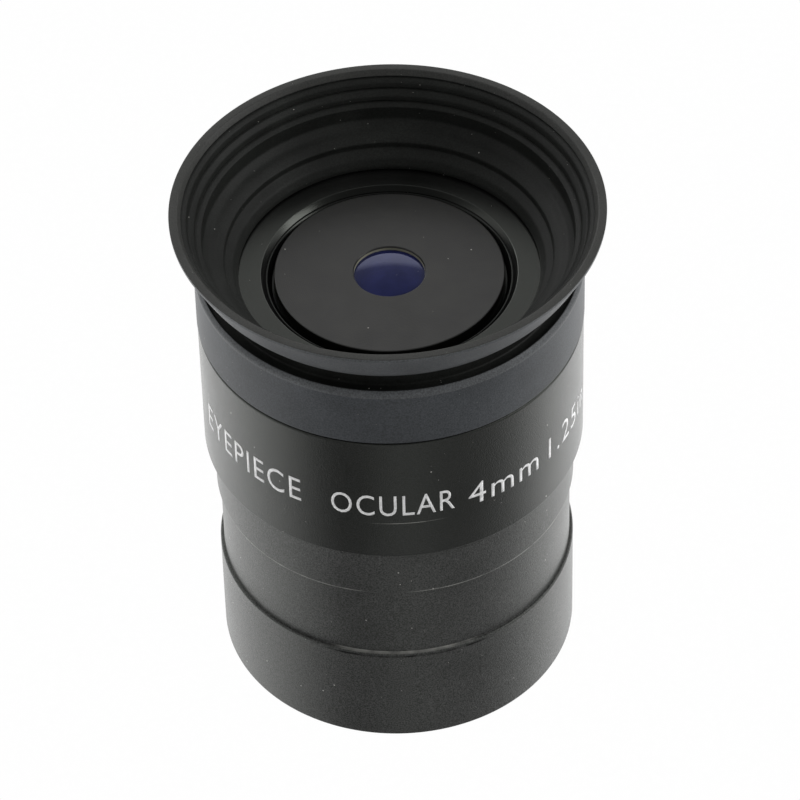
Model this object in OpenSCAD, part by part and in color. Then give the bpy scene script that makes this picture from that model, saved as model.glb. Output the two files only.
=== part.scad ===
// Short focus eyepiece for a 1.25 inch telescope focuser, in millimetres.
// Origin: centre of the barrel's open end. +Z points along the axis to the observer's eye.

/* [Barrel] */
// Outside diameter of the barrel
barrel_d = 31.75; // [31.6:0.01:31.8]
// Height of the plain lip at the open end
lip_h = 10.6; // [9:0.1:12]
// Height of the safety undercut above the lip
undercut_h = 7.86; // [6:0.02:9]
// Depth of the safety undercut, on the radius
undercut_depth = 0.32; // [0.2:0.01:0.6]
// Height of the collar between the undercut and the housing
collar_h = 5.46; // [4:0.02:7]
// Diameter of the bore through the barrel
barrel_bore_d = 26.4; // [25:0.1:27]
// Inside diameter of the filter thread at the open end
filter_thread_d = 27.86; // [27.5:0.01:28]
// Depth of the filter thread
filter_thread_h = 5; // [3:0.1:7]
// Diameter of the threaded spigot that screws into the housing
spigot_d = 28.4; // [28.2:0.1:29]
// Length of the threaded spigot
spigot_h = 4.4; // [3:0.1:5]

/* [Housing] */
// Outside diameter of the housing
housing_d = 33.4; // [33:0.1:33.6]
// Height of the plain housing wall, up to the eyecup
housing_h = 13.6; // [12:0.1:16]
// Diameter of the seat that the eyecup grips
seat_d = 31.2; // [31:0.1:31.4]
// Height of the eyecup seat, up to the top plate
seat_h = 4.36; // [4.2:0.02:5]
// Depth of the retaining groove in the seat, on the radius
seat_groove_depth = 0.6; // [0.3:0.1:0.8]
// Diameter of the space inside the housing
cavity_d = 27; // [25:0.5:28]
// Thickness of the top plate
plate_t = 4; // [3:0.1:4.5]
// Diameter of the ring groove around the eye cap
ring_groove_d = 22.04; // [21.6:0.02:22.4]

/* [Eye cap and lens cell] */
// Diameter of the eye cap
cap_d = 19.84; // [19.4:0.02:20]
// Thickness of the eye cap's flange
cap_flange_t = 1.2; // [1:0.1:1.5]
// Diameter of the cap's threaded boss
cap_boss_d = 18.5; // [18:0.1:18.8]
// Depth of the boss below the flange
cap_boss_h = 4.4; // [3.5:0.1:5]
// Diameter of the eye hole
eye_hole_d = 6.1; // [6:0.05:6.3]
// Outside diameter of the lens cell
cell_d = 10.8; // [10:0.1:12]
// Length of the lens cell
cell_h = 10.8; // [10.6:0.1:12]
// Aperture of the field stop
field_stop_d = 3.7; // [3:0.1:4.5]

/* [Lenses] */
// Diameter of the lens elements
lens_d = 6.6; // [6.5:0.05:6.65]
// Radius of the outer surface of the eye lens
outer_lens_r = 18; // [15:0.5:25]
// Radius of the cemented surfaces
cement_r = 3.9; // [3.8:0.05:4.2]
// Radius of the two surfaces that face each other
inner_lens_r = 4.6; // [4.4:0.05:5.2]
// Thickness of a flint element at its centre
flint_t = 0.7; // [0.6:0.05:0.8]
// Thickness of a crown element at its edge
crown_edge_t = 0.35; // [0.25:0.05:0.45]
// Air gap between the two doublets at their centres
air_gap = 0.4; // [0.3:0.05:0.5]

/* [Eyecup] */
// Outside diameter of the band that grips the housing
band_d = 33.5; // [33.4:0.05:33.7]
// Height of the band
band_h = 6; // [5.8:0.1:6.4]
// Diameter of the neck between band and flare
neck_d = 30.4; // [30:0.1:31]
// Outside diameter of the rim
rim_d = 37.16; // [37:0.02:38]
// Height of the flare above the band
flare_h = 4.74; // [4.6:0.02:5]
// Height of the rim bead
rim_h = 0.99; // [0.9:0.01:1.2]
// Height of the rim's straight outer edge
rim_edge_h = 0.3; // [0.25:0.05:0.5]
// Width of the flat land on the rim
land_w = 0.55; // [0.45:0.05:0.8]
// How much the flare widens for each millimetre of height
flare_slope = 0.51; // [0.48:0.01:0.54]

/* [Fits] */
// Running clearance of the threads, on the radius
thread_gap = 0.05; // [0.02:0.01:0.1]
// Gap between parts that sit against each other
joint_gap = 0.02; // [0.01:0.01:0.04]

/* [Hidden] */
$fn = 96;

// Heights along the axis, from the open end of the barrel
shoulder_z = lip_h + undercut_h + collar_h;
band_z = shoulder_z + housing_h + joint_gap;
plate_z = shoulder_z + housing_h + seat_h;
flare_z = band_z + band_h;
rim_z = flare_z + flare_h;
top_z = rim_z + rim_h;
flange_z = plate_z - cap_flange_t;

// Edge breaks, reliefs and small depths
edge = 0.3;
fine_edge = 0.15;
cut = 1;
thread_relief = 0.4;
groove_slope_w = 0.5;
groove_slope_h = 0.45;
eye_hole_h = 0.3;
seat_lip_h = 0.15;
seat_lip_w = 0.25;
web_t = 0.6;
pocket_gap = 0.05;

// The retaining bead of the eyecup: height of its underside above the housing wall, and its thickness
bead_lift = 1.7;
bead_t = 1.4;

// Inside radii of the eyecup: its floor over the top plate, the foot of its wall, and its rim
cup_floor_r = 12.95;
cup_wall_r = 13.86;
cup_rim_r = 17.1;

// Outside radius of the flare where it meets the rim
flare_top_r = rim_d / 2 - flare_slope * (rim_h - rim_edge_h);

// The lens stack, worked out downwards from the seat lip under the eye hole
lens_r = lens_d / 2;
seat_r = eye_hole_d / 2 - seat_lip_w;
seat_z = plate_z - eye_hole_h - seat_lip_h;
eye_top = seat_z - joint_gap + sag(outer_lens_r, seat_r);
eye_cement = eye_top - flint_t;
eye_edge = eye_cement - sag(cement_r, lens_r) - crown_edge_t;
eye_bottom = eye_edge - sag(inner_lens_r, lens_r);
field_top = eye_bottom - air_gap;
field_edge = field_top - sag(inner_lens_r, lens_r);
field_cement = field_edge - crown_edge_t - sag(cement_r, lens_r);
field_bottom = field_cement - flint_t;
spacer_t = 0.6;

// The lens cell
cell_top = seat_z - web_t + seat_lip_h;
cell_bottom = cell_top - cell_h;
pocket_r = lens_r + pocket_gap;
ring_r = lens_r + 0.65;
ring_nose_h = 0.12;
ring_top = field_bottom - ring_nose_h;
ring_h = 0.9;
stop_h = 0.35;
stop_z = cell_bottom + 0.25;

// Depth of a spherical surface of radius big_r at a distance r from the axis
function sag(big_r, r) = big_r - sqrt(big_r * big_r - r * r);

// A tube along the axis, from z0 to z1
module tube(outer_r, inner_r, z0, z1) {
    difference() {
        translate([0, 0, z0]) cylinder(r = outer_r, h = z1 - z0);
        translate([0, 0, z0 - cut]) cylinder(r = inner_r, h = z1 - z0 + 2 * cut);
    }
}

// A plain hole along the axis, from z0 to z1
module hole(r, z0, z1) {
    translate([0, 0, z0]) cylinder(r = r, h = z1 - z0);
}

// A conical hole along the axis, r0 at z0 and r1 at z1
module cone_hole(r0, r1, z0, z1) {
    translate([0, 0, z0]) cylinder(r1 = r0, r2 = r1, h = z1 - z0);
}

// A ball on the axis whose lowest point is at z
module ball_above(r, z) {
    translate([0, 0, z + r]) sphere(r = r);
}

// A ball on the axis whose highest point is at z
module ball_below(r, z) {
    translate([0, 0, z - r]) sphere(r = r);
}

// The nosepiece: lip, safety undercut, collar and threaded spigot, with a filter thread in its mouth
module barrel() {
    r = barrel_d / 2;
    undercut_r = r - undercut_depth;
    collar_z = lip_h + undercut_h;
    bore_r = barrel_bore_d / 2;
    filter_r = filter_thread_d / 2;
    color("#2a2a2b")
    rotate_extrude() polygon([
        [filter_r + edge, 0],
        [r - edge, 0],
        [r, edge],
        [r, lip_h],
        [undercut_r, lip_h + undercut_depth / 2],
        [undercut_r, collar_z - undercut_depth / 2],
        [r, collar_z],
        [r, shoulder_z],
        [r - fine_edge, shoulder_z + fine_edge],
        [spigot_d / 2, shoulder_z + fine_edge],
        [spigot_d / 2, shoulder_z + spigot_h - edge],
        [spigot_d / 2 - edge, shoulder_z + spigot_h],
        [bore_r, shoulder_z + spigot_h],
        [bore_r, filter_thread_h + edge],
        [filter_r, filter_thread_h],
        [filter_r, edge]
    ]);
}

// The body tube: plain wall, eyecup seat with its groove, and the top plate with the sloped ring groove
module housing() {
    r = housing_d / 2;
    seat = seat_d / 2;
    seat_z0 = shoulder_z + housing_h;
    groove_z0 = seat_z0 + bead_lift;
    groove_z1 = groove_z0 + bead_t;
    thread_r = spigot_d / 2 + thread_gap;
    thread_z = shoulder_z + spigot_h + thread_relief;
    cap_r = cap_boss_d / 2 + thread_gap;
    groove_r = ring_groove_d / 2;
    slope_r = groove_r - groove_slope_w;
    rebate_r = barrel_d / 2 + thread_gap;
    rebate_z = shoulder_z + fine_edge + joint_gap;
    color("#262627")
    rotate_extrude() polygon([
        [thread_r + edge, rebate_z],
        [rebate_r, rebate_z],
        [rebate_r, shoulder_z],
        [r - fine_edge, shoulder_z],
        [r, shoulder_z + fine_edge],
        [r, seat_z0 - fine_edge],
        [r - fine_edge, seat_z0],
        [seat, seat_z0],
        [seat, groove_z0],
        [seat - seat_groove_depth, groove_z0],
        [seat - seat_groove_depth, groove_z1],
        [seat, groove_z1],
        [seat, plate_z - edge],
        [seat - edge, plate_z],
        [groove_r, plate_z],
        [slope_r, plate_z - groove_slope_h],
        [slope_r, flange_z],
        [cap_r, flange_z],
        [cap_r, plate_z - plate_t],
        [cavity_d / 2, plate_z - plate_t],
        [cavity_d / 2, thread_z],
        [thread_r, thread_z],
        [thread_r, rebate_z + edge]
    ]);
}

// The screwed disc with the eye hole, which holds the lens cell under its boss
module eye_cap() {
    r = cap_d / 2;
    boss_r = cap_boss_d / 2;
    hole_r = eye_hole_d / 2;
    boss_z = flange_z - cap_boss_h;
    color("#3a3a3b")
    difference() {
        rotate_extrude() polygon([
            [0, boss_z],
            [boss_r - edge, boss_z],
            [boss_r, boss_z + edge],
            [boss_r, flange_z],
            [r, flange_z],
            [r, plate_z - fine_edge],
            [r - fine_edge, plate_z],
            [0, plate_z]
        ]);
        hole(hole_r, plate_z - eye_hole_h, plate_z + cut);
        cone_hole(seat_r, hole_r, seat_z, plate_z - eye_hole_h);
        hole(pocket_r, cell_top - cut, seat_z);
        hole(cell_d / 2 + joint_gap, boss_z - cut, cell_top);
    }
}

// The tube that holds both doublets, with a wider threaded bore for the rings below them
module lens_cell() {
    r = cell_d / 2;
    color("#222223")
    difference() {
        rotate_extrude() polygon([
            [0, cell_bottom],
            [r - edge, cell_bottom],
            [r, cell_bottom + edge],
            [r, cell_top - joint_gap],
            [0, cell_top - joint_gap]
        ]);
        hole(pocket_r, cell_bottom - cut, cell_top + cut);
        hole(ring_r + thread_gap, cell_bottom - cut, ring_top);
    }
}

// The outer element of the eye doublet
module eye_lens_flint() {
    color("#4a4f8a", 0.5)
    difference() {
        intersection() {
            hole(lens_r, eye_edge, eye_top + cut);
            ball_below(outer_lens_r, eye_top);
        }
        ball_below(cement_r, eye_cement);
        hole(lens_r + cut, eye_edge - cut, eye_edge + crown_edge_t);
    }
}

// The inner element of the eye doublet
module eye_lens_crown() {
    color("#5a5f9a", 0.5)
    union() {
        intersection() {
            hole(lens_r, eye_edge, eye_top);
            ball_below(cement_r, eye_cement - joint_gap / 2);
        }
        intersection() {
            hole(lens_r, eye_bottom - cut, eye_edge + joint_gap);
            ball_above(inner_lens_r, eye_bottom);
        }
    }
}

// The ring that keeps the two doublets apart, touching each near its edge
module lens_spacer() {
    spacer_r = lens_r - spacer_t;
    reach = sag(inner_lens_r, spacer_r);
    color("#303031")
    tube(lens_r, spacer_r, field_top - reach + joint_gap, eye_bottom + reach - joint_gap);
}

// The inner element of the field doublet
module field_lens_crown() {
    color("#5a5f9a", 0.5)
    union() {
        intersection() {
            hole(lens_r, field_edge - joint_gap, field_top + cut);
            ball_below(inner_lens_r, field_top);
        }
        intersection() {
            hole(lens_r, field_bottom, field_edge);
            ball_above(cement_r, field_cement + joint_gap / 2);
        }
    }
}

// The outer element of the field doublet, plane towards the telescope
module field_lens_flint() {
    color("#4a4f8a", 0.5)
    difference() {
        hole(lens_r, field_bottom, field_edge - crown_edge_t);
        ball_above(cement_r, field_cement);
    }
}

// The threaded ring that presses the lens stack up against the seat lip, with two spanner slots
module lens_retaining_ring() {
    aperture_r = lens_r - 0.7;
    middle_r = (aperture_r + ring_r) / 2;
    slot_l = 1;
    slot_w = 0.8;
    slot_depth = 0.4;
    color("#2b2b2c")
    difference() {
        union() {
            tube(ring_r, aperture_r, ring_top - ring_h, ring_top - joint_gap);
            tube(lens_r - pocket_gap, aperture_r, ring_top - ring_h, field_bottom - joint_gap);
        }
        for (side = [-1, 1])
            translate([side * middle_r - slot_l / 2, -slot_w / 2, ring_top - ring_h - cut])
                cube([slot_l, slot_w, cut + slot_depth]);
    }
}

// The thin ring that gives the field of view its edge, bevelled to a knife edge
module field_stop() {
    r = field_stop_d / 2;
    knife_t = 0.05;
    bevel_w = 0.5;
    color("#1b1b1c")
    rotate_extrude() polygon([
        [r, stop_z + stop_h - knife_t],
        [r + bevel_w, stop_z],
        [ring_r, stop_z],
        [ring_r, stop_z + stop_h],
        [r, stop_z + stop_h]
    ]);
}

// The rubber band that grips the housing, with its bead and the floor over the top plate
module eyecup_band() {
    r = band_d / 2;
    grip_r = seat_d / 2 + joint_gap;
    bead_r = grip_r - seat_groove_depth;
    bead_z0 = band_z + bead_lift;
    bead_z1 = bead_z0 + bead_t - 2 * joint_gap;
    floor_z = plate_z + joint_gap;
    color("#343638")
    rotate_extrude() polygon([
        [grip_r, band_z],
        [r - fine_edge, band_z],
        [r, band_z + fine_edge],
        [r, flare_z - edge],
        [r - edge, flare_z],
        [neck_d / 2, flare_z],
        [cup_wall_r, flare_z],
        [cup_wall_r - 0.11, floor_z + 1.33],
        [cup_wall_r - 0.51, floor_z + 1.13],
        [cup_floor_r + 0.1, floor_z + 0.68],
        [cup_floor_r, floor_z + 0.38],
        [cup_floor_r, floor_z],
        [grip_r, floor_z],
        [grip_r, bead_z1],
        [bead_r, bead_z1],
        [bead_r, bead_z0],
        [grip_r, bead_z0]
    ]);
}

// The thin rubber wall that folds, stepped on the inside
module eyecup_flare() {
    neck_r = neck_d / 2;
    foot_r = neck_r + 1.1;
    foot_z = rim_z - (flare_top_r - foot_r) / flare_slope;
    color("#303234")
    rotate_extrude() polygon([
        [cup_wall_r, flare_z],
        [neck_r, flare_z],
        [neck_r, flare_z + 0.36],
        [foot_r, foot_z],
        [flare_top_r, rim_z],
        [cup_rim_r, rim_z],
        [cup_rim_r - 0.6, rim_z - 0.95],
        [cup_rim_r - 1.2, rim_z - 1.65],
        [cup_wall_r + 1.54, flare_z + 1.4],
        [cup_wall_r + 1.39, flare_z + 1.25],
        [cup_wall_r + 0.19, flare_z + 0.6],
        [cup_wall_r + 0.04, flare_z + 0.35]
    ]);
}

// The bead at the top of the cup, which the eye socket rests on
module eyecup_rim() {
    rim_r = rim_d / 2;
    land_r = rim_r - fine_edge - land_w;
    lead_in_w = 0.2;
    lead_in_h = 0.3;
    foot_t = 0.12;
    color("#3c3e40")
    rotate_extrude() polygon([
        [cup_rim_r, rim_z],
        [flare_top_r, rim_z],
        [rim_r, top_z - rim_edge_h],
        [rim_r, top_z - fine_edge],
        [rim_r - fine_edge, top_z],
        [land_r, top_z],
        [land_r - lead_in_w, top_z - lead_in_h],
        [cup_rim_r, rim_z + foot_t]
    ]);
}

barrel();
housing();
eye_cap();
lens_cell();
eye_lens_flint();
eye_lens_crown();
lens_spacer();
field_lens_crown();
field_lens_flint();
lens_retaining_ring();
field_stop();
eyecup_band();
eyecup_flare();
eyecup_rim();
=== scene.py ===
"""The looks of a telescope eyepiece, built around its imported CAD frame.

Everything is in metres in the CAD frame: +Z is the optical axis, towards the eye, and the
barrel's open end is at z = 0. Outlines are written in millimetres and scaled by MM.
"""

import math

import bmesh
import bpy
from mathutils import Matrix, Vector


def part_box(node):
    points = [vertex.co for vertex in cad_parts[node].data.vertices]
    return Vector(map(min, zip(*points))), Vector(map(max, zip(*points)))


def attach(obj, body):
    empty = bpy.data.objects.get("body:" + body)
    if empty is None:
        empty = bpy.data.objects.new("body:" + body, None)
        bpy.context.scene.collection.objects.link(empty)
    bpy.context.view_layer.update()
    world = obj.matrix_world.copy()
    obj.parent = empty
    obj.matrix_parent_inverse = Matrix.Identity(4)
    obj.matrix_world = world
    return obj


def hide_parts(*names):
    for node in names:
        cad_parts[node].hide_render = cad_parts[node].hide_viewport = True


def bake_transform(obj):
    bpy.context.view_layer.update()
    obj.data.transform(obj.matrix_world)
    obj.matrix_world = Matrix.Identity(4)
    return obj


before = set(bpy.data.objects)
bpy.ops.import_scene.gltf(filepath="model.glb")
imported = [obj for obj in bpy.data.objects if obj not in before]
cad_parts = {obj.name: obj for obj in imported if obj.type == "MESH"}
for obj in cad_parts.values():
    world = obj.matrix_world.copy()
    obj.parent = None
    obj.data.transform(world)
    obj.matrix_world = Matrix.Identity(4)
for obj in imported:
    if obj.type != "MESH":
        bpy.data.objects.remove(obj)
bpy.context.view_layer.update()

MM = 0.001
SEGMENTS = 288
ARC_STEPS = 5
THREAD_PITCH = 0.75
FILTER_PITCH = 0.6
THREAD_ROWS = 10


# ---------------------------------------------------------------- sizes from the frame

def low(node):
    """A CAD node's lowest height, in millimetres."""
    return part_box(node)[0].z / MM


def high(node):
    """A CAD node's highest height, in millimetres."""
    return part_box(node)[1].z / MM


def radius(node):
    """A CAD node's largest radius, in millimetres."""
    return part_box(node)[1].x / MM


BARREL_R = radius("barrel")
HOUSING_R = radius("housing")
CAP_R = radius("eye_cap")
BAND_R = radius("eyecup_band")
RIM_R = radius("eyecup_rim")
LENS_R = radius("eye_lens_flint")

SHOULDER_Z = low("housing")
BAND_Z = low("eyecup_band")
PLATE_Z = high("housing")
FLARE_Z = low("eyecup_flare")
RIM_Z = low("eyecup_rim")
TOP_Z = high("eyecup_rim")
SPIGOT_TOP = high("barrel")
REBATE_Z = SHOULDER_Z + 0.15

LIP_H = 10.6
COLLAR_Z = 18.46
UNDERCUT_R = BARREL_R - 0.32
SPIGOT_R = 14.2
BORE_R = 13.2
FILTER_R = 13.93
FILTER_H = 5.0
HOLE_R = 3.05

# pale colour of bare worn metal, also used for a painted highlight along the lip's edge
BARE_METAL_AND_HIGHLIGHT = (0.32, 0.32, 0.3, 1)
BARE_HOLE = (0.36, 0.35, 0.26, 1)
METAL_DUST = (0.4, 0.39, 0.37, 1)
CAP_DUST = (0.4, 0.39, 0.36, 1)
RUBBER_DUST = (0.28, 0.28, 0.26, 1)
GLASS_DUST = (0.5, 0.5, 0.5, 1)


# ---------------------------------------------------------------- mesh helpers

def fillet(before, corner, after, size):
    """The points of an arc that rounds one corner of an outline."""
    here = Vector(corner)
    back = Vector(before) - here
    ahead = Vector(after) - here
    reach = min(size, 0.45 * back.length, 0.45 * ahead.length)
    start = here + back.normalized() * reach
    end = here + ahead.normalized() * reach
    points = []
    for i in range(ARC_STEPS + 1):
        t = i / ARC_STEPS
        points.append(start * (1 - t) ** 2 + here * 2 * t * (1 - t) + end * t ** 2)
    return points


def outline(corners):
    """A closed outline from (radius, height, rounding) corners, in millimetres."""
    points = []
    count = len(corners)
    for i, (r, z, size) in enumerate(corners):
        if size:
            before, after = corners[i - 1][:2], corners[(i + 1) % count][:2]
            points += fillet(before, (r, z), after, size)
        else:
            points.append(Vector((r, z)))
    return points


def screw_wall(r, z0, z1, pitch):
    """Corners up or down a threaded wall, close enough together to carry the thread."""
    rows = max(2, round(abs(z1 - z0) / pitch * THREAD_ROWS))
    return [(r, z0 + (z1 - z0) * i / rows, 0) for i in range(rows + 1)]


def thread_cut(r, z, angle, threads):
    """How far a thread moves a point of its wall, in millimetres."""
    for wall_r, z0, z1, pitch, depth in threads:
        if abs(r - wall_r) < 1e-4 and z0 <= z <= z1:
            fade = min(1, (z - z0) / pitch, (z1 - z) / pitch)
            phase = (z / pitch - angle / math.tau) % 1
            return depth * fade * (1 - abs(2 * phase - 1))
    return 0.0


def lathe(name, corners, body, material, threads=(), segments=SEGMENTS):
    """A smooth turned piece that rides on a CAD body. Outline points on the axis become one point."""
    bm = bmesh.new()
    rings = []
    for r, z in outline(corners):
        if r < 1e-6:
            rings.append([bm.verts.new((0, 0, z * MM))] * segments)
            continue
        ring = []
        for i in range(segments):
            angle = math.tau * i / segments
            here = r + thread_cut(r, z, angle, threads)
            ring.append(bm.verts.new((here * math.cos(angle) * MM, here * math.sin(angle) * MM, z * MM)))
        rings.append(ring)
    for a, b in zip(rings, rings[1:] + rings[:1]):
        for i in range(segments):
            j = (i + 1) % segments
            corners_of_face = list(dict.fromkeys((a[i], a[j], b[j], b[i])))
            if len(corners_of_face) > 2:
                bm.faces.new(corners_of_face)
    bmesh.ops.recalc_face_normals(bm, faces=bm.faces)
    obj = mesh_object(name, bm, material)
    weighted = obj.modifiers.new("weighted_normals", "WEIGHTED_NORMAL")
    weighted.keep_sharp = True
    if body:
        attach(obj, body)
    return obj


def mesh_object(name, bm, material):
    """A smooth-shaded object from a bmesh."""
    mesh = bpy.data.meshes.new(name)
    bm.to_mesh(mesh)
    bm.free()
    mesh.shade_smooth()
    mesh.materials.append(material)
    obj = bpy.data.objects.new(name, mesh)
    bpy.context.scene.collection.objects.link(obj)
    return obj


def keep_rest_place(obj):
    """Writes each point's rest position into the mesh, so that a material follows a piece that bends."""
    rest = obj.data.attributes.new("rest_place", "FLOAT_VECTOR", "POINT")
    for point, vertex in zip(rest.data, obj.data.vertices):
        point.vector = vertex.co


# ---------------------------------------------------------------- material helpers

class Shader:
    """The nodes of a material or world under construction, read in the frame's own coordinates."""

    def __init__(self, owner):
        self.tree = owner.node_tree
        self.surface = self.tree.nodes.get("Principled BSDF")
        self.place = self.tree.nodes.new("ShaderNodeTexCoord").outputs["Object"]

    def set(self, **values):
        """Sets inputs of the surface, such as roughness=0.4 or base_color=(r, g, b, 1)."""
        for key, value in values.items():
            socket = self.surface.inputs[key.replace("_", " ").title().replace("Ior", "IOR")]
            if hasattr(value, "is_output"):
                self.tree.links.new(value, socket)
            else:
                socket.default_value = value

    def node(self, kind, inputs=None, **settings):
        """A new node, with its inputs linked or set and its settings applied."""
        made = self.tree.nodes.new(kind)
        for key, value in settings.items():
            setattr(made, key, value)
        for key, value in (inputs or {}).items():
            if hasattr(value, "is_output"):
                self.tree.links.new(value, made.inputs[key])
            else:
                made.inputs[key].default_value = value
        return made

    def noise(self, size_mm, detail=3.0, stretch=None):
        """A 0 to 1 noise with features of about this size, stretched along Z when asked."""
        place = self.place
        if stretch:
            scale = {"Vector": place, "Scale": stretch}
            place = self.node("ShaderNodeMapping", scale).outputs["Vector"]
        values = {"Vector": place, "Scale": 1 / (size_mm * MM), "Detail": detail}
        return self.node("ShaderNodeTexNoise", values).outputs["Fac"]

    def ramp(self, value, *stops):
        """Colours along a 0 to 1 value, as (position, colour) stops."""
        made = self.node("ShaderNodeValToRGB", {"Fac": value})
        elements = made.color_ramp.elements
        while len(elements) < len(stops):
            elements.new(0.5)
        for element, (position, colour) in zip(elements, stops):
            element.position = position
            element.color = colour
        return made.outputs["Color"]

    def span(self, value, start, end):
        """A 0 to 1 value mapped to start to end."""
        values = {"Value": value, "To Min": start, "To Max": end}
        return self.node("ShaderNodeMapRange", values).outputs["Result"]

    def mix(self, amount, first, second, **settings):
        """A colour between two colours."""
        made = self.node("ShaderNodeMix", data_type="RGBA", **settings)
        for socket, value in zip((made.inputs[0], made.inputs[6], made.inputs[7]), (amount, first, second)):
            if hasattr(value, "is_output"):
                self.tree.links.new(value, socket)
            else:
                socket.default_value = value
        return made.outputs[2]

    def math(self, operation, *values):
        """A number from one, two or three numbers."""
        return self.node("ShaderNodeMath", dict(enumerate(values)), operation=operation).outputs[0]

    def bump(self, *layers):
        """Stacks (height, depth in mm) layers of relief onto the surface."""
        normal = None
        for height, depth in layers:
            values = {"Height": height, "Distance": depth * MM, "Strength": 1.0}
            if normal:
                values["Normal"] = normal
            normal = self.node("ShaderNodeBump", values).outputs["Normal"]
        self.tree.links.new(normal, self.surface.inputs["Normal"])

    def axis_radius(self):
        """Distance from the optical axis, in metres."""
        parts = self.node("ShaderNodeSeparateXYZ", {"Vector": self.place}).outputs
        squares = self.math("ADD", self.math("POWER", parts[0], 2.0), self.math("POWER", parts[1], 2.0))
        return self.math("SQRT", squares)

    def height(self):
        """Height along the optical axis, in metres."""
        return self.node("ShaderNodeSeparateXYZ", {"Vector": self.place}).outputs[2]

    def above(self, z_mm):
        """1 above this height, 0 below it."""
        return self.math("GREATER_THAN", self.height(), z_mm * MM)

    def below(self, z_mm):
        """1 below this height, 0 above it."""
        return self.math("LESS_THAN", self.height(), z_mm * MM)

    def front_line(self, z_mm, half_mm, x_from, x_to):
        """Up to 1 along a thin, broken line around the front at this height, between two x positions."""
        end_fade = 2.5
        side_fade = 8
        x, y, z = self.node("ShaderNodeSeparateXYZ", {"Vector": self.place}).outputs
        away = self.math("ABSOLUTE", self.math("SUBTRACT", z, z_mm * MM))
        line = self.math("MAXIMUM", self.math("MULTIPLY_ADD", away, -1 / (half_mm * MM), 1.0), 0.0)
        for end, sign in ((x_from, 1), (x_to, -1)):
            fade = self.math("MULTIPLY_ADD", x, sign / (end_fade * MM), -sign * end / end_fade)
            line = self.math("MULTIPLY", line, self.span(fade, 0.0, 1.0))
        at_front = self.span(self.math("MULTIPLY", y, -1 / (side_fade * MM)), 0.0, 1.0)
        line = self.math("MULTIPLY", line, at_front)
        return self.math("MULTIPLY", line, self.ramp(self.noise(1.6), (0.35, grey(0.25)), (0.6, grey(1))))

    def specks(self, spacing_mm, size_mm, share):
        """1 on a share of small round specks scattered at this spacing, 0 elsewhere."""
        values = {"Vector": self.place, "Scale": 1 / (spacing_mm * MM)}
        cells = self.node("ShaderNodeTexVoronoi", values)
        near = self.math("LESS_THAN", cells.outputs["Distance"], size_mm / spacing_mm / 2)
        chosen = self.node("ShaderNodeSeparateColor", {"Color": cells.outputs["Color"]}).outputs["Red"]
        return self.math("MULTIPLY", near, self.math("LESS_THAN", chosen, share))


def grey(value):
    """An opaque grey."""
    return (value, value, value, 1)


# ---------------------------------------------------------------- materials

def new_material(name):
    """An empty node material."""
    material = bpy.data.materials.new(name)
    material.use_nodes = True
    return material


def anodised(name, tone, roughness, wear_and_highlight_lines, painted_shade_lines=(), turned_above=None):
    """Bead-blasted aluminium, anodised black, with grain, dust, pale worn lines, a pale line of painted
    highlight and a dark line of painted shade.

    Above turned_above it is turned instead of blasted: darker, smoother and glossier, but dull where
    it is sunk below the top plate.
    """
    material = new_material(name)
    s = Shader(material)
    grain = s.noise(0.12, 3.0)
    patches = s.noise(6.0, 3.0)
    dust = s.math("MAXIMUM", s.specks(1.0, 0.14, 0.16), s.specks(0.6, 0.07, 0.1))
    tint = s.ramp(patches, (0.3, grey(tone * 0.85)), (0.7, grey(tone * 1.2)))
    sparkle = s.ramp(s.noise(0.13, 2.0), (0.34, grey(0.15)), (0.66, grey(1.05)))
    tint = s.mix(1.0, tint, sparkle, blend_type="MULTIPLY")
    # pale lines: real wear, and along the lip's top edge a painted highlight
    for wear_and_highlight_line in wear_and_highlight_lines:
        tint = s.mix(s.front_line(*wear_and_highlight_line), tint, BARE_METAL_AND_HIGHLIGHT)
    # dark lines of painted shade, also made less glossy
    for painted_shade_line in painted_shade_lines:
        painted_shade = s.front_line(*painted_shade_line)
        tint = s.mix(painted_shade, tint, grey(0.003))
        s.set(specular_ior_level=s.math("MULTIPLY_ADD", painted_shade, -0.5, 0.5))
    matt = s.math("ADD", s.span(patches, roughness - 0.04, roughness + 0.04), s.span(grain, -0.09, 0.09))
    if turned_above:
        turned = s.above(turned_above)
        tint = s.mix(turned, tint, s.ramp(patches, (0.3, grey(0.003)), (0.7, grey(0.006))))
        sunk = s.math("MULTIPLY", turned, s.below(PLATE_Z - 0.02))
        shine = s.math("MULTIPLY_ADD", turned, 0.3, 0.5)
        s.set(specular_ior_level=s.math("MULTIPLY_ADD", sunk, -0.5, shine))
        matt = s.math("MULTIPLY", matt, s.math("MULTIPLY_ADD", turned, -0.4, 1.0))
    s.set(base_color=s.mix(dust, tint, METAL_DUST))
    s.set(roughness=matt, ior=1.45, specular_tint=(0.94, 1.0, 0.91, 1))
    if turned_above:
        grain = s.math("MULTIPLY", grain, s.math("MULTIPLY_ADD", turned, -0.85, 1.0))
    s.bump((grain, 0.03))
    return material


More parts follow.
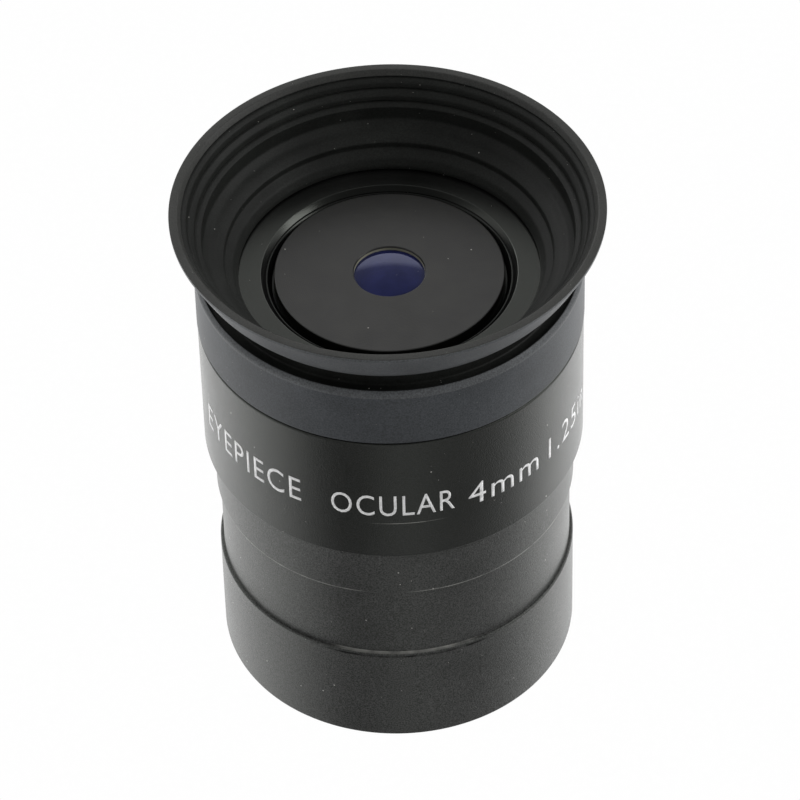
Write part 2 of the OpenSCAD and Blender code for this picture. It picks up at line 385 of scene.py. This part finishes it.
def cap_black():
    """Satin black with faint turning marks, smears and a few specks, bare on the wall of the eye hole."""
    material = new_material("eye_cap_black")
    s = Shader(material)
    mark_spacing = 0.16
    rings = s.math("SINE", s.math("MULTIPLY", s.axis_radius(), math.tau / (mark_spacing * MM)))
    smears = s.noise(2.6, 5.0)
    dust = s.math("MAXIMUM", s.specks(1.0, 0.13, 0.12), s.specks(0.6, 0.06, 0.1))
    tint = s.ramp(smears, (0.35, (0.007, 0.007, 0.006, 1)), (0.7, (0.013, 0.013, 0.011, 1)))
    in_hole = s.math("LESS_THAN", s.axis_radius(), (HOLE_R + 0.02) * MM)
    tint = s.mix(s.math("MULTIPLY", in_hole, s.below(PLATE_Z - 0.14)), tint, BARE_HOLE)
    s.set(base_color=s.mix(dust, tint, CAP_DUST))
    on_wall = s.math("GREATER_THAN", s.axis_radius(), (CAP_R - 0.02) * MM)
    s.set(specular_ior_level=s.math("MULTIPLY_ADD", on_wall, -0.38, 0.5))
    s.set(roughness=s.span(smears, 0.27, 0.42), ior=1.52)
    s.bump((rings, 0.0006), (s.noise(0.13, 2.0), 0.006), (smears, 0.012))
    return material


def eyecup_zones(s):
    """Three masks: the outside of the flare and band, less its top land and less the crevice under the
    flare, which keeps the dark inside tone as painted shade; everything above the band; the lip's top.
    """
    wall_slope, wall_r, wall_z = 0.52, 15.1, 43.6
    gap_r = 16.4
    pale_from_r, pale_fade = 16.6, 0.5
    across = s.axis_radius()
    middle = s.math("MULTIPLY_ADD", s.height(), wall_slope, (wall_r - wall_slope * wall_z) * MM)
    outside = s.math("MULTIPLY_ADD", s.math("SUBTRACT", across, middle), 5 / MM, 0.5)
    above_band = s.above(FLARE_Z - 0.6)
    # painted shade: the gap above the band and the flare's foot near the neck stay at the dark inside tone
    in_gap = s.math("MULTIPLY", s.math("LESS_THAN", across, gap_r * MM), above_band)
    neck_shade_fade = s.math("MULTIPLY_ADD", across, -1 / (pale_fade * MM), pale_from_r / pale_fade)
    near_neck = s.math("MULTIPLY", s.above(FLARE_Z + 0.3), s.span(neck_shade_fade, 0.0, 1.0))
    painted_crevice_shade = s.math("MAXIMUM", in_gap, near_neck)
    on_land = s.above(TOP_Z - 0.05)
    outside = s.math("SUBTRACT", s.span(outside, 0.0, 1.0), s.math("MAXIMUM", painted_crevice_shade, on_land))
    return s.math("MAXIMUM", outside, 0.0), above_band, s.above(TOP_Z - 0.5)


def rubber():
    """Matte moulded rubber, paler and bluer where it is handled, with a fine grain and clinging dust; its
    much darker inside tone is partly painted shade, inside the cup and in the crevice under the flare.
    """
    material = new_material("eyecup_rubber")
    s = Shader(material)
    s.place = s.node("ShaderNodeAttribute", attribute_name="rest_place").outputs["Vector"]
    bloom = s.noise(4.0, 5.0)
    grain = s.noise(0.14, 3.0)
    dust = s.math("MAXIMUM", s.specks(1.0, 0.12, 0.15), s.specks(0.5, 0.06, 0.12))
    # the inside tone is partly painted shade: the cup's inside is made much darker than its outside
    inside, rim, band, land = [
        s.ramp(bloom, (0.3, dark), (0.75, pale)) for dark, pale in (
            ((0.011, 0.0118, 0.0106, 1), (0.02, 0.0218, 0.0195, 1)),
            ((0.08, 0.085, 0.09, 1), (0.112, 0.119, 0.125, 1)),
            ((0.046, 0.051, 0.057, 1), (0.066, 0.073, 0.081, 1)),
            ((0.03, 0.0311, 0.0278, 1), (0.0415, 0.0425, 0.039, 1)),
        )
    ]
    outside, above_band, near_top = eyecup_zones(s)
    tint = s.mix(outside, s.mix(near_top, inside, land), s.mix(above_band, band, rim))
    tint = s.mix(1.0, tint, s.ramp(grain, (0.34, grey(0.5)), (0.66, grey(1))), blend_type="MULTIPLY")
    s.set(base_color=s.mix(dust, tint, RUBBER_DUST))
    s.set(roughness=s.span(grain, 0.5, 0.64), ior=1.42)
    s.set(specular_ior_level=s.span(s.math("MAXIMUM", outside, near_top), 0.24, 0.5))
    s.bump((grain, 0.014), (s.noise(0.9, 3.0), 0.01))
    return material


def inner_black():
    """Dull black of the rings and tubes inside, with turning marks along the axis."""
    material = new_material("inner_black")
    s = Shader(material)
    turned = s.noise(0.5, 2.0, stretch=(0.05, 0.05, 4.0))
    s.set(base_color=s.ramp(turned, (0.3, grey(0.008)), (0.7, grey(0.02))))
    s.set(roughness=s.span(turned, 0.45, 0.65), ior=1.45)
    s.bump((turned, 0.004))
    return material


def coated_glass(name, tint):
    """Polished glass with a violet-blue coating and a trace of dust."""
    material = new_material(name)
    s = Shader(material)
    dust = s.specks(0.6, 0.05, 0.1)
    cloud = s.noise(1.8, 3.0)
    bloom = s.ramp(cloud, (0.35, tint), (0.65, (tint[0] * 2.2, tint[1] * 2.0, tint[2] * 1.6, 1)))
    s.set(base_color=s.mix(dust, bloom, GLASS_DUST))
    s.set(roughness=s.span(cloud, 0.01, 0.04), ior=1.5, specular_tint=(0.44, 0.49, 0.86, 1))
    s.set(transmission_weight=0.4)
    return material


def print_ink():
    """Pale screen-printed ink, slightly broken up."""
    material = new_material("print_ink")
    s = Shader(material)
    broken = s.noise(0.25, 3.0)
    s.set(base_color=s.ramp(broken, (0.3, grey(0.7)), (0.6, grey(0.88))), roughness=0.6)
    s.bump((broken, 0.003))
    return material


def floor_white():
    """Plain white floor that gives off its own light, with a barely visible tooth."""
    material = new_material("floor_white")
    s = Shader(material)
    tooth = s.ramp(s.noise(0.8, 3.0), (0.2, grey(0.99)), (0.8, grey(1)))
    s.set(base_color=grey(0), roughness=1.0, specular_ior_level=0.0)
    s.set(emission_color=tooth, emission_strength=1.0)
    from_below = s.node("ShaderNodeNewGeometry").outputs["Backfacing"]
    s.set(alpha=s.math("SUBTRACT", 1.0, from_below))
    return material


# ---------------------------------------------------------------- pieces

def build_barrel(material):
    """The nosepiece, with its undercut and both threads cut as real helices."""
    spigot_z0, spigot_z1 = SHOULDER_Z + 0.45, SPIGOT_TOP - 0.35
    corners = [
        (FILTER_R + 0.45, 0, 0.08),
        (BARREL_R, 0, 0.3),
        (BARREL_R, LIP_H - 0.13, 0.04),
        (BARREL_R - 0.11, LIP_H, 0.04),
        (UNDERCUT_R, LIP_H + 0.02, 0.05),
        (UNDERCUT_R, COLLAR_Z - 0.08, 0.08),
        (BARREL_R, COLLAR_Z, 0.1),
        (BARREL_R, REBATE_Z, 0.12),
        (SPIGOT_R - 0.15, REBATE_Z, 0.05),
        (SPIGOT_R - 0.15, REBATE_Z + 0.2, 0.05),
        *screw_wall(SPIGOT_R, spigot_z0, spigot_z1, THREAD_PITCH),
        (SPIGOT_R - 0.3, SPIGOT_TOP, 0.05),
        (BORE_R, SPIGOT_TOP, 0.08),
        (BORE_R, FILTER_H + 0.5, 0.08),
        (FILTER_R, FILTER_H, 0.08),
        *screw_wall(FILTER_R, FILTER_H - 0.3, 0.55, FILTER_PITCH),
        (FILTER_R, 0.45, 0),
    ]
    threads = [
        (SPIGOT_R, spigot_z0, spigot_z1, THREAD_PITCH, -0.32),
        (FILTER_R, 0.55, FILTER_H - 0.3, FILTER_PITCH, 0.28),
    ]
    barrel = lathe("barrel_turned", corners, "barrel", material, threads)
    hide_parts("barrel")


def build_housing(material):
    """The body tube with its top plate; the ring groove is open between it and the eye cap."""
    thread_r = SPIGOT_R + 0.05
    slope_r = 10.52
    cap_bore = 9.3
    floor_z = PLATE_Z - 1.2
    seat_r = 15.6
    rebate_r = BARREL_R + 0.05
    cavity_r = 13.5
    cavity_top = PLATE_Z - 4
    grip_z0, grip_z1 = BAND_Z + 1.68, BAND_Z + 3.08
    thread_z0, thread_z1 = REBATE_Z + 0.35, SPIGOT_TOP + 0.2
    corners = [
        (thread_r + 0.3, REBATE_Z + 0.02, 0.05),
        (rebate_r, REBATE_Z + 0.02, 0.03),
        (rebate_r, SHOULDER_Z, 0.05),
        (HOUSING_R, SHOULDER_Z, 0.2),
        (HOUSING_R, BAND_Z - 0.02, 0.24),
        (seat_r, BAND_Z - 0.02, 0.05),
        (seat_r, grip_z0, 0.05),
        (seat_r - 0.6, grip_z0, 0.05),
        (seat_r - 0.6, grip_z1, 0.05),
        (seat_r, grip_z1, 0.05),
        (seat_r, PLATE_Z, 0.3),
        (slope_r + 0.52, PLATE_Z, 0.03),
        (slope_r + 0.08, PLATE_Z - 0.4, 0.02),
        (slope_r + 0.14, PLATE_Z - 0.46, 0.02),
        (slope_r - 0.02, PLATE_Z - 0.46, 0.02),
        (slope_r - 0.34, PLATE_Z - 0.76, 0.02),
        (slope_r - 0.34, floor_z, 0.1),
        (cap_bore, floor_z, 0.05),
        (cap_bore, cavity_top, 0.15),
        (cavity_r, cavity_top, 0.4),
        (cavity_r, SPIGOT_TOP + 0.4, 0.3),
        (thread_r, SPIGOT_TOP + 0.4, 0.05),
        *screw_wall(thread_r, thread_z1, thread_z0, THREAD_PITCH),
    ]
    threads = [(thread_r, thread_z0, thread_z1, THREAD_PITCH, 0.3)]
    housing = lathe("housing_turned", corners, "housing", material, threads)
    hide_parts("housing")


def build_cap(material):
    """The eye cap: a flat disc with a softly broken edge and a stepped eye hole."""
    boss_z = low("eye_cap")
    flange_z = PLATE_Z - 1.2
    boss_r = 9.25
    pocket_r = LENS_R + 0.05
    cell_r = radius("lens_cell") + 0.02
    cell_top = high("lens_cell") + 0.02
    seat_z = PLATE_Z - 0.45
    corners = [
        (HOLE_R, seat_z, 0.02),
        (HOLE_R, PLATE_Z - 0.15, 0.02),
        (HOLE_R + 0.1, PLATE_Z, 0.02),
        (CAP_R, PLATE_Z, 0.14),
        (CAP_R, flange_z, 0.08),
        (boss_r, flange_z, 0.05),
        (boss_r, boss_z, 0.3),
        (cell_r, boss_z, 0.1),
        (cell_r, cell_top, 0.03),
        (pocket_r, cell_top, 0.03),
        (pocket_r, seat_z, 0.03),
    ]
    cap = lathe("eye_cap_turned", corners, "housing", material)
    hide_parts("eye_cap")


def sag(sphere_r, r):
    """Depth of a spherical surface at a distance from the axis."""
    return sphere_r - math.sqrt(sphere_r ** 2 - r ** 2)


def build_eye_lens(material):
    """The outer lens element: weak convex face to the eye, strong hollow face inside."""
    outer_r, inner_r = 18.0, 3.9
    rise = 0.15
    thickness = 0.85
    top = high("eye_lens_flint") + rise
    inner_top = top - thickness
    steps = 24
    reach = [LENS_R * i / steps for i in range(steps + 1)]
    corners = [(r, top - sag(outer_r, r), 0) for r in reach]
    corners += [(r, inner_top - sag(inner_r, r), 0) for r in reversed(reach)]
    lens = lathe("eye_lens_front", corners, "housing", material, segments=128)
    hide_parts("eye_lens_flint")


def crease(r, z):
    """Corners of a fine undercut where a wall of the cup meets the ledge below it."""
    return [(r + 0.04, z + 0.1, 0.03), (r + 0.17, z - 0.04, 0.04), (r - 0.1, z - 0.08, 0.05)]


def build_eyecup(material):
    """The rubber eyecup in one moulding: band, neck, stepped flare and rim."""
    grip_r = 15.62
    neck_r = 15.2
    floor_z = PLATE_Z + 0.02
    corners = [
        (grip_r, BAND_Z + 0.08, 0.05),
        (BAND_R, BAND_Z + 0.08, 0.24),
        (BAND_R, FLARE_Z - 0.26, 0.22),
        (16.46, FLARE_Z + 0.06, 0.08),
        (16.32, FLARE_Z + 0.02, 0.05),
        (16.2, FLARE_Z - 0.5, 0.1),
        (neck_r, FLARE_Z - 0.4, 0.2),
        (neck_r, FLARE_Z + 0.66, 0.2),
        (16.15, FLARE_Z + 1.5, 0.25),
        (17.2, RIM_Z - 2.0, 0.7),
        (RIM_R, TOP_Z - 0.3, 0.25),
        (RIM_R, TOP_Z, 0.04),
        (17.88, TOP_Z, 0.12),
        *crease(17.52, TOP_Z - 0.56),
        (17.12, TOP_Z - 0.84, 0.14),
        *crease(16.96, TOP_Z - 1.4),
        (16.48, TOP_Z - 1.84, 0.14),
        *crease(16.36, TOP_Z - 2.36),
        (15.92, TOP_Z - 2.66, 0.06),
        (15.92, TOP_Z - 4.0, 0.2),
        (15.3, FLARE_Z + 1.2, 0.2),
        (14.75, FLARE_Z + 1.02, 0.3),
        (14.08, FLARE_Z + 0.58, 0.14),
        (14.12, FLARE_Z - 0.02, 0.14),
        (13.33, floor_z + 1.14, 0.2),
        (12.98, floor_z + 0.42, 0.15),
        (12.96, floor_z + 0.14, 0.04),
        (13.12, floor_z, 0.04),
        (grip_r, floor_z, 0.05),
    ]
    cup = lathe("eyecup_moulding", corners, None, material)
    keep_rest_place(cup)
    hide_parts("eyecup_band", "eyecup_flare", "eyecup_rim")
    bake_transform(cup)


def wrap_text(name, words, from_deg, to_deg, base_z, cap_height, material):
    """Raised print around the housing, between two angles from the front (-Y), towards +X."""
    curve = bpy.data.curves.new(name, "FONT")
    curve.body = words
    capitals_share = 0.72
    curve.size = cap_height / capitals_share
    curve.extrude = 0.5
    curve.offset = -0.008
    curve.space_character = 1.12
    curve.resolution_u = 4
    flat = bpy.data.objects.new(name, curve)
    bpy.context.scene.collection.objects.link(flat)
    bpy.context.view_layer.update()
    mesh = bpy.data.meshes.new_from_object(flat.evaluated_get(bpy.context.evaluated_depsgraph_get()))
    bpy.data.objects.remove(flat)
    bm = bmesh.new()
    bm.from_mesh(mesh)
    bmesh.ops.remove_doubles(bm, verts=bm.verts, dist=1e-5)
    longest_edge = 0.4
    long_edges = [e for e in bm.edges if e.calc_length() > longest_edge]
    bmesh.ops.subdivide_edges(bm, edges=long_edges, cuts=3)
    bmesh.ops.triangulate(bm, faces=bm.faces)
    left = min(v.co.x for v in bm.verts)
    width = max(v.co.x for v in bm.verts) - left
    ink_thickness = 0.016
    for v in bm.verts:
        share = (v.co.x - left) / width
        angle = math.radians(from_deg + (to_deg - from_deg) * share)
        r = (HOUSING_R + ink_thickness * v.co.z) * MM
        v.co = Vector((r * math.sin(angle), -r * math.cos(angle), (base_z + v.co.y) * MM))
    bmesh.ops.recalc_face_normals(bm, faces=bm.faces)
    obj = mesh_object(name, bm, material)
    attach(obj, "housing")
    return obj


def build_print(material):
    """Generic words and sizes around the housing."""
    base_z = SHOULDER_Z + 5.05
    wrap_text("print_left", "EYEPIECE", -73, -29, base_z, 2.7, material)
    wrap_text("print_centre", "OCULAR", -19.3, 17.4, base_z, 2.5, material)
    wrap_text("print_focal_length", "4mm", 21.8, 47.5, base_z - 0.25, 2.6, material)
    wrap_text("print_right", "1.25in", 52.5, 80, base_z - 0.25, 2.5, material)


# ---------------------------------------------------------------- studio

def build_studio():
    """A white floor, light from the surroundings that depends on direction, and two soft lights."""
    bm = bmesh.new()
    bmesh.ops.create_grid(bm, x_segments=8, y_segments=8, size=1.5)
    floor = mesh_object("floor", bm, floor_white())
    for kind in ("diffuse", "glossy", "transmission", "shadow"):
        setattr(floor, "visible_" + kind, False)
    build_world()
    soft_light("side", (0.85, -0.06, 0.53), 0.4, 3.2)
    soft_light("back", (-0.5, 0.72, 0.5), 0.4, 1.6)


def lights(*stops):
    """Ramp stops from (position, brightness) pairs."""
    return [(position, grey(light)) for position, light in stops]


def build_world():
    """Light by direction: bright sides, back and low front, dark above the front; white to the camera."""
    world = bpy.data.worlds.new("studio")
    world.use_nodes = True
    s = Shader(world)
    s.place = s.node("ShaderNodeTexCoord").outputs["Generated"]
    x, y, z = s.node("ShaderNodeSeparateXYZ", {"Vector": s.place}).outputs
    turn = s.math("ARCTAN2", x, s.math("MULTIPLY", y, -1.0))
    around = s.math("MULTIPLY_ADD", turn, 1 / math.tau, 0.5)
    # Below the horizon, by degrees from the front towards +X
    low_lights = (
        (-180, 0.7), (-124, 0.8), (-100, 0.72), (-80, 0.68), (-62, 0.5), (-48, 0.1),
        (-38, 0.02), (-20, 0.05), (0, 0.44), (14, 0.3), (30, 0.14), (46, 0.13),
        (60, 0.15), (74, 0.25), (90, 0.52), (110, 0.85), (136, 0.85), (180, 0.7),
    )
    below = s.ramp(around, *lights(*[(0.5 + degrees / 360, light) for degrees, light in low_lights]))
    blocked = s.ramp(s.math("MULTIPLY", z, -1.0), *lights((0.78, 1), (0.9, 0.25)))
    below = s.mix(1.0, below, blocked, blend_type="MULTIPLY")
    # Above the horizon, by the sine of the height: behind the part, then on the camera's side
    back = s.ramp(z, *lights((0, 0.12), (0.3, 0.15), (0.44, 0.76), (0.56, 0.76), (0.62, 0.25), (1, 0.12)))
    front = s.ramp(z, *lights((0, 0.32), (0.3, 0.3), (0.6, 0.09), (0.85, 0.07), (1, 0.12)))
    is_back = s.ramp(s.math("MULTIPLY_ADD", y, 0.5, 0.5), *lights((0.25, 0), (0.5, 1)))
    above = s.mix(is_back, front, back)
    is_above = s.ramp(s.math("MULTIPLY_ADD", z, 4.0, 0.5), *lights((0, 0), (1, 1)))
    strength = 2.6
    seen_directly = s.node("ShaderNodeLightPath").outputs["Is Camera Ray"]
    light = s.mix(seen_directly, s.mix(is_above, below, above), grey(1 / strength))
    background = s.tree.nodes["Background"]
    s.tree.links.new(light, background.inputs["Color"])
    background.inputs["Strength"].default_value = strength
    bpy.context.scene.world = world


def soft_light(name, place, size, power):
    """A square area light that looks at the object."""
    data = bpy.data.lights.new(name, "AREA")
    data.size = size
    data.energy = power
    light = bpy.data.objects.new(name, data)
    light.location = place
    aim = Vector((0, 0, 0.02)) - Vector(place)
    light.rotation_euler = aim.to_track_quat("-Z", "Y").to_euler()
    bpy.context.scene.collection.objects.link(light)


def build_camera():
    """A long lens from the front and above, rolled slightly."""
    distance = 451.7 * MM
    elevation = math.radians(46.94)
    roll = math.radians(-1.58)
    aim_right, aim_up = 0.0014, 0.0416
    place = Vector((0, -distance * math.cos(elevation), distance * math.sin(elevation)))
    up_screen = Vector((0, math.sin(elevation), math.cos(elevation)))
    forward = -place.normalized() + aim_right * Vector((1, 0, 0)) + aim_up * up_screen
    forward.normalize()
    right = forward.cross(Vector((0, 0, 1))).normalized()
    up = right.cross(forward)
    right, up = (
        math.cos(roll) * right + math.sin(roll) * up,
        -math.sin(roll) * right + math.cos(roll) * up,
    )
    data = bpy.data.cameras.new("camera")
    data.sensor_width = 36
    data.lens = 221.5
    data.clip_start = 0.01
    camera = bpy.data.objects.new("camera", data)
    turn = Matrix((right, up, -forward)).transposed()
    camera.matrix_world = Matrix.Translation(place) @ turn.to_4x4()
    bpy.context.scene.collection.objects.link(camera)
    bpy.context.scene.camera = camera


# ---------------------------------------------------------------- build

def dress_nodes(material_of):
    """Gives CAD nodes that stay visible their materials."""
    for name, material in material_of.items():
        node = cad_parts[name]
        node.data.materials.clear()
        node.data.materials.append(material)


# Lines painted on the front of the metal: height, half width, and the x positions they run between
edge_x = 99.0
# painted highlight: a pale line along the lip's top edge, in the colour of bare metal
lip_highlight = (LIP_H + 0.03, 0.09, -6.5, 7.0)
# painted shade: a dark line just below the lip's edge
lip_painted_shade = (LIP_H - 0.29, 0.2, -8.5, 9.0)
collar_left = (COLLAR_Z + 0.05, 0.13, -edge_x, -2.5)
collar_right = (COLLAR_Z + 0.05, 0.13, 0.5, edge_x)
scratch = (28.0, 0.05, -2.6, 4.6)
barrel_wear_and_highlight = (lip_highlight, collar_left, collar_right)
build_barrel(anodised("barrel_anodised", 0.056, 0.42, barrel_wear_and_highlight, painted_shade_lines=(lip_painted_shade,)))
build_housing(anodised("housing_anodised", 0.01, 0.36, (scratch,), turned_above=PLATE_Z - 1.5))
build_cap(cap_black())
glass = coated_glass("eye_lens_coating", (0.008, 0.011, 0.07, 1))
inner_glass = coated_glass("inner_lens_coating", (0.02, 0.03, 0.06, 1))
build_eye_lens(glass)
build_eyecup(rubber())
build_print(print_ink())
dull = inner_black()
dress_nodes({
    "lens_cell": dull,
    "lens_spacer": dull,
    "lens_retaining_ring": dull,
    "field_stop": dull,
    "eye_lens_crown": inner_glass,
    "field_lens_crown": inner_glass,
    "field_lens_flint": inner_glass,
})
build_studio()
build_camera()
bpy.context.scene.view_settings.view_transform = "Standard"
